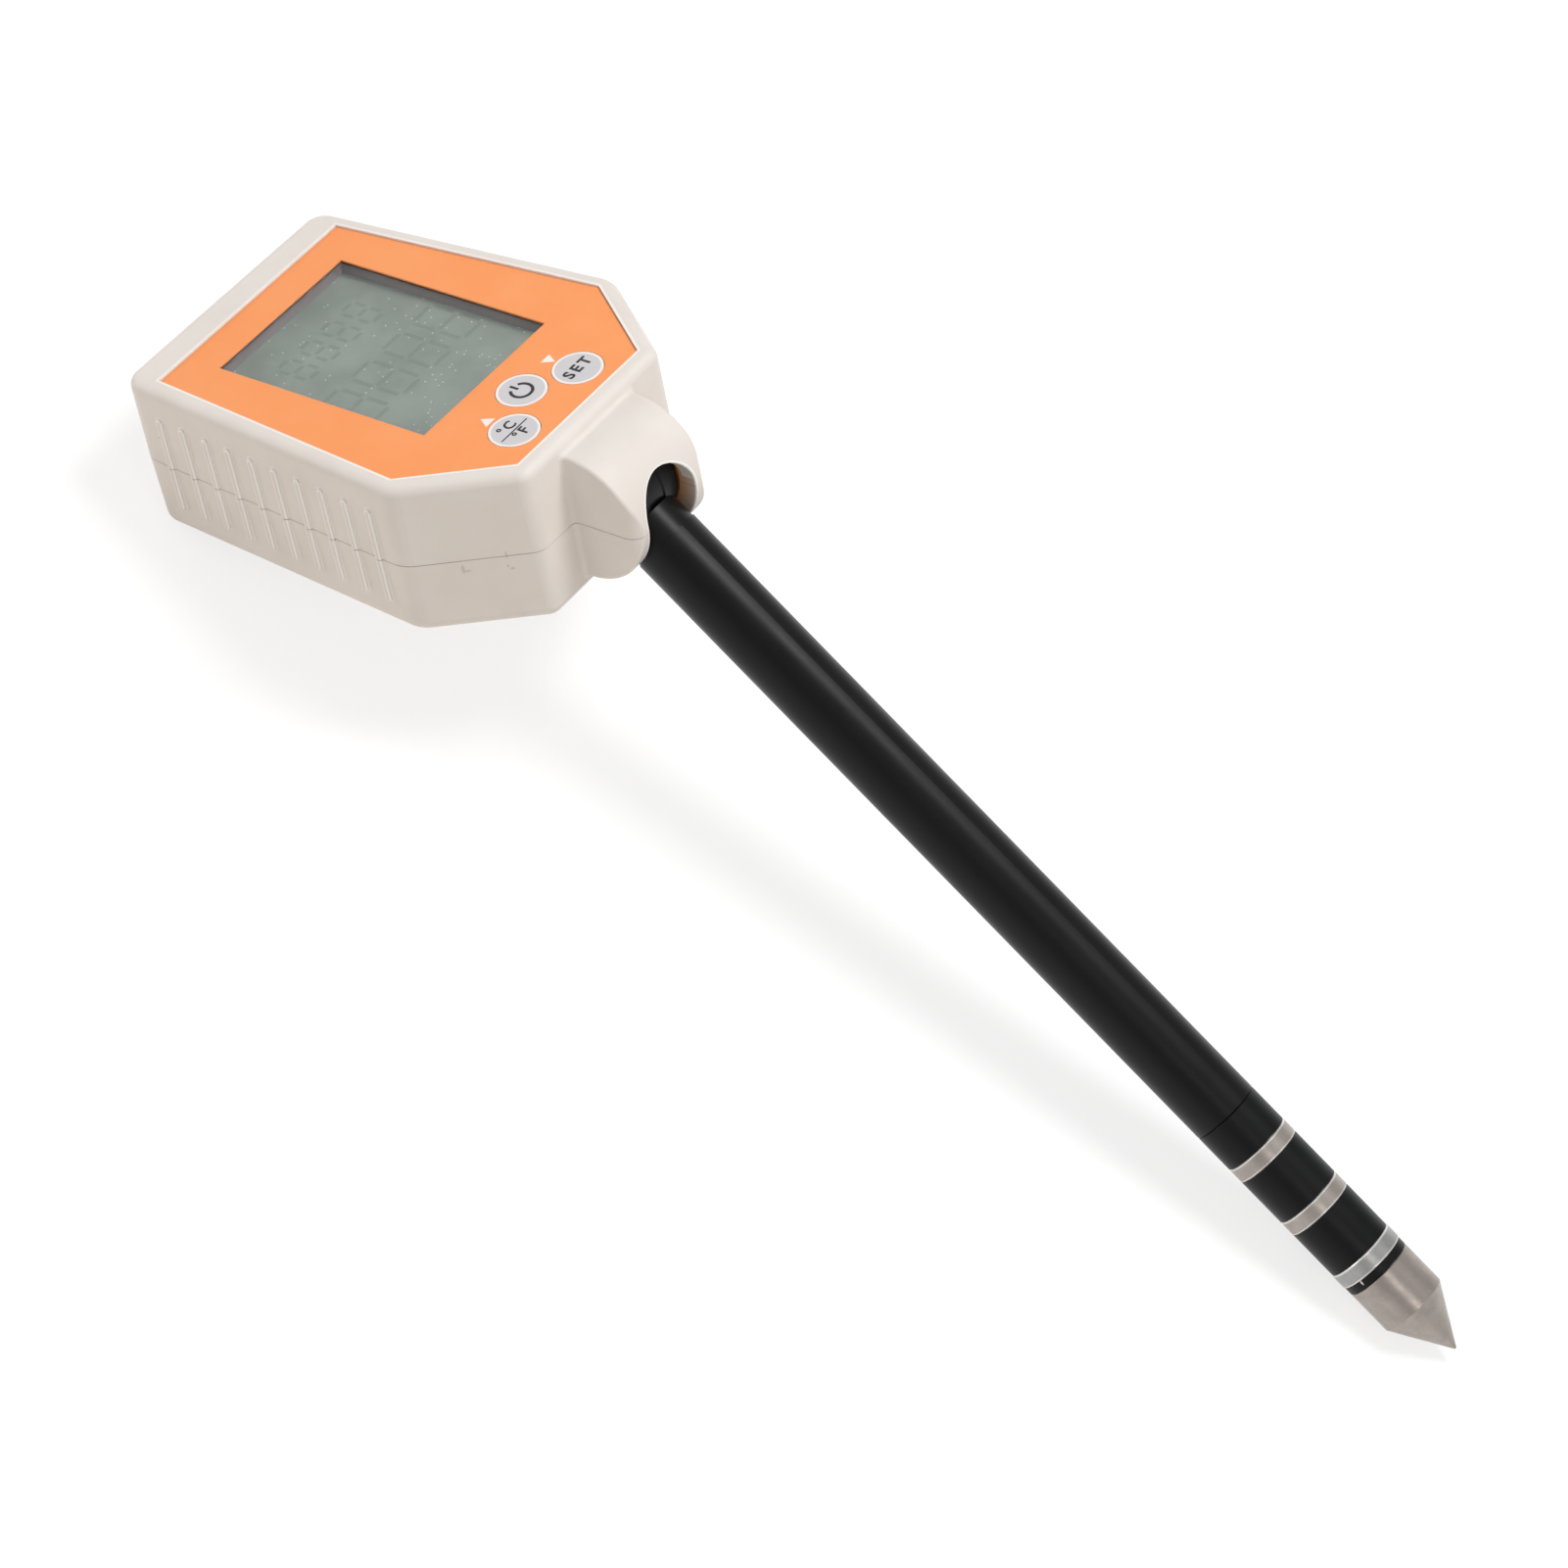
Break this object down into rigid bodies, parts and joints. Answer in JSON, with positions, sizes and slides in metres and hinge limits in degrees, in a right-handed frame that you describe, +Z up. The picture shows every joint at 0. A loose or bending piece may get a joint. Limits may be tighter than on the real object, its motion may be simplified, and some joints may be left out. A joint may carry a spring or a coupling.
{
  "type": "digital soil tester",
  "caption": "Hand-held digital soil tester: tapered head with grey display and round keys, battery bay, folding hinge barrel and a slim probe with metal rings and pointed tip.",
  "frame": {"origin": "on the floor, under the middle of the whole object as it stands bent, on the far edge of its back and on the end of its probe", "axes": "+X from the head towards the probe point, along the longest extent; +Y across the head; +Z up"},
  "size_m": [0.2652, 0.0618, 0.062],
  "materials": {
    "housing": "fine matt moulded ivory plastic",
    "overlay": "printed orange film",
    "lens": "clear acrylic",
    "gasket": "dark display surround",
    "display": "grey-green reflective display",
    "elastomer": "striped contact rubber",
    "circuit_board": "green solder mask",
    "component": "moulded black",
    "key": "pale printed film over a plastic key",
    "screw_steel": "zinc plated steel",
    "cell": "plain wrapped cell",
    "contact_steel": "nickel plated spring steel",
    "wire_red": "insulated wire",
    "plug": "natural nylon",
    "lead": "insulated lead",
    "hinge_black": "black moulded plastic",
    "washer_brass": "plain brass",
    "tube_black": "satin black plastic tube",
    "insulator": "black insulating plastic",
    "ring_nickel": "warm nickel plated, turned",
    "ring_zinc": "bright zinc plated, turned",
    "tip_steel": "turned steel",
    "core": "natural plastic core",
    "bead": "potted bead"
  },
  "bodies": {
    "head": {"battery_cells": "cell", "battery_plates": "contact_steel", "battery_springs": "contact_steel", "battery_wires": "wire_red", "board_chips": "component", "board_screws": "screw_steel", "case_screws": "screw_steel", "display_gasket": "gasket", "friction_washers": "washer_brass", "front_housing": "housing", "head_lead": "lead", "lcd_panel": "display", "lead_plug": "plug", "main_board": "circuit_board", "overlay_label": "overlay", "rear_housing": "housing", "tact_switches": "component", "window_lens": "lens", "zebra_strips": "elastomer"},
    "probe": {"hinge_knuckle": "hinge_black", "probe_tube": "tube_black", "sleeve_upper": "insulator", "electrode_ring_1": "ring_nickel", "electrode_ring_2": "ring_nickel", "electrode_ring_3": "ring_zinc", "spacer_1": "insulator", "spacer_2": "insulator", "spacer_3": "insulator", "sensor_core": "core", "probe_tip": "tip_steel", "thermistor": "bead", "sensor_lead": "lead"},
    "battery_door": {"battery_door": "housing"},
    "key_power": {"key_power": "key", "switch_plunger_power": "component"},
    "key_set": {"key_set": "key", "switch_plunger_set": "component"},
    "key_unit": {"key_unit": "key", "switch_plunger_unit": "component"}
  },
  "joints": [
    {"name": "probe_fold", "type": "hinge", "parent": "head", "child": "probe", "pos_m": [-0.05682, 0, 0.0499], "axis": [0, 1, 0], "range_deg": [-42.16, 17.84]},
    {"name": "battery_door_tilt", "type": "hinge", "parent": "head", "child": "battery_door", "pos_m": [-0.06702, 0, 0.02711], "axis": [0, -1, 0], "range_deg": [0, 35]},
    {"name": "key_power_press", "type": "slide", "parent": "head", "child": "key_power", "axis": [0.4752, 0, -0.8799], "range_m": [0, 0.00035], "stiffness_N_per_m": 1500},
    {"name": "key_set_press", "type": "slide", "parent": "head", "child": "key_set", "axis": [0.4752, 0, -0.8799], "range_m": [0, 0.00035], "stiffness_N_per_m": 1500},
    {"name": "key_unit_press", "type": "slide", "parent": "head", "child": "key_unit", "axis": [0.4752, 0, -0.8799], "range_m": [0, 0.00035], "stiffness_N_per_m": 1500}
  ]
}
